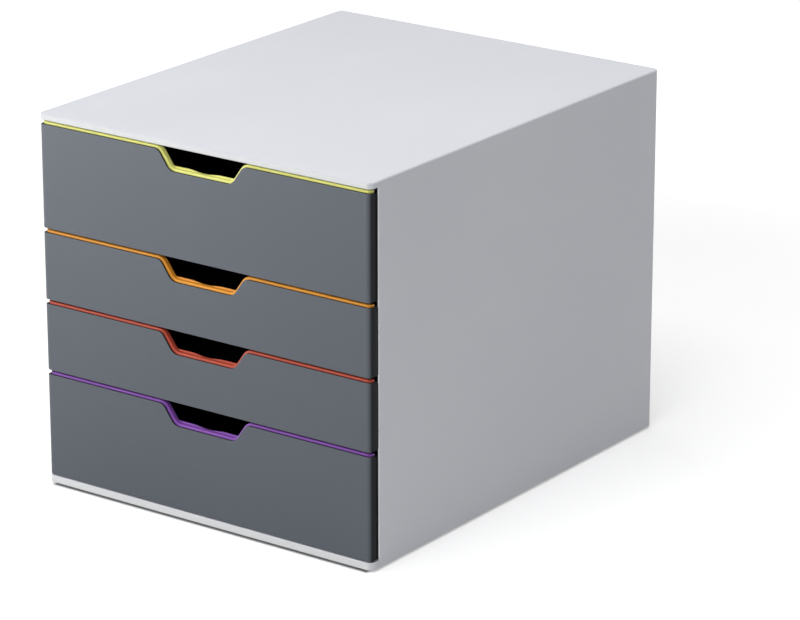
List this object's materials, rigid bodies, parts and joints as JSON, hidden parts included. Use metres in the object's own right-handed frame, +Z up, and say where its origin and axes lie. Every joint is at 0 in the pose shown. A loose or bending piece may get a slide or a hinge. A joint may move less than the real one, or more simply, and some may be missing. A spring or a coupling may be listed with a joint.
{
  "type": "desktop drawer unit",
  "caption": "Light grey plastic desktop tower with dark pull-out drawers, finger notches and coloured edge trims, for papers and desk supplies.",
  "frame": {"origin": "on the table, under the middle of the casing", "axes": "+X to the right seen from the front, +Y from the drawer fronts to the back, +Z up"},
  "size_m": [0.292, 0.356, 0.28],
  "materials": {
    "shell": "fine moulded grain, light grey",
    "inner_plastic": "plain moulded, near black",
    "foot_rubber": "matte black",
    "tray_plastic": "plain moulded, near black",
    "front_plastic": "satin slate grey with a fine grain",
    "trim_yellow": "satin yellow",
    "trim_orange": "satin orange",
    "trim_red": "satin coral red",
    "trim_violet": "satin violet"
  },
  "bodies": {
    "casing": {"casing": "shell", "back_panel": "shell", "left_runner": "inner_plastic", "right_runner": "inner_plastic", "foot_front_left": "foot_rubber", "foot_front_right": "foot_rubber", "foot_rear_left": "foot_rubber", "foot_rear_right": "foot_rubber"},
    "top_drawer": {"top_drawer_tray": "tray_plastic", "top_drawer_front": "front_plastic", "top_drawer_grip": "trim_yellow"},
    "upper_drawer": {"upper_drawer_tray": "tray_plastic", "upper_drawer_front": "front_plastic", "upper_drawer_grip": "trim_orange"},
    "lower_drawer": {"lower_drawer_tray": "tray_plastic", "lower_drawer_front": "front_plastic", "lower_drawer_grip": "trim_red"},
    "bottom_drawer": {"bottom_drawer_tray": "tray_plastic", "bottom_drawer_front": "front_plastic", "bottom_drawer_grip": "trim_violet"}
  },
  "joints": [
    {"name": "top_drawer_slide", "type": "slide", "parent": "casing", "child": "top_drawer", "axis": [0, -1, 0], "range_m": [0, 0.27]},
    {"name": "upper_drawer_slide", "type": "slide", "parent": "casing", "child": "upper_drawer", "axis": [0, -1, 0], "range_m": [0, 0.27]},
    {"name": "lower_drawer_slide", "type": "slide", "parent": "casing", "child": "lower_drawer", "axis": [0, -1, 0], "range_m": [0, 0.27]},
    {"name": "bottom_drawer_slide", "type": "slide", "parent": "casing", "child": "bottom_drawer", "axis": [0, -1, 0], "range_m": [0, 0.27]}
  ]
}
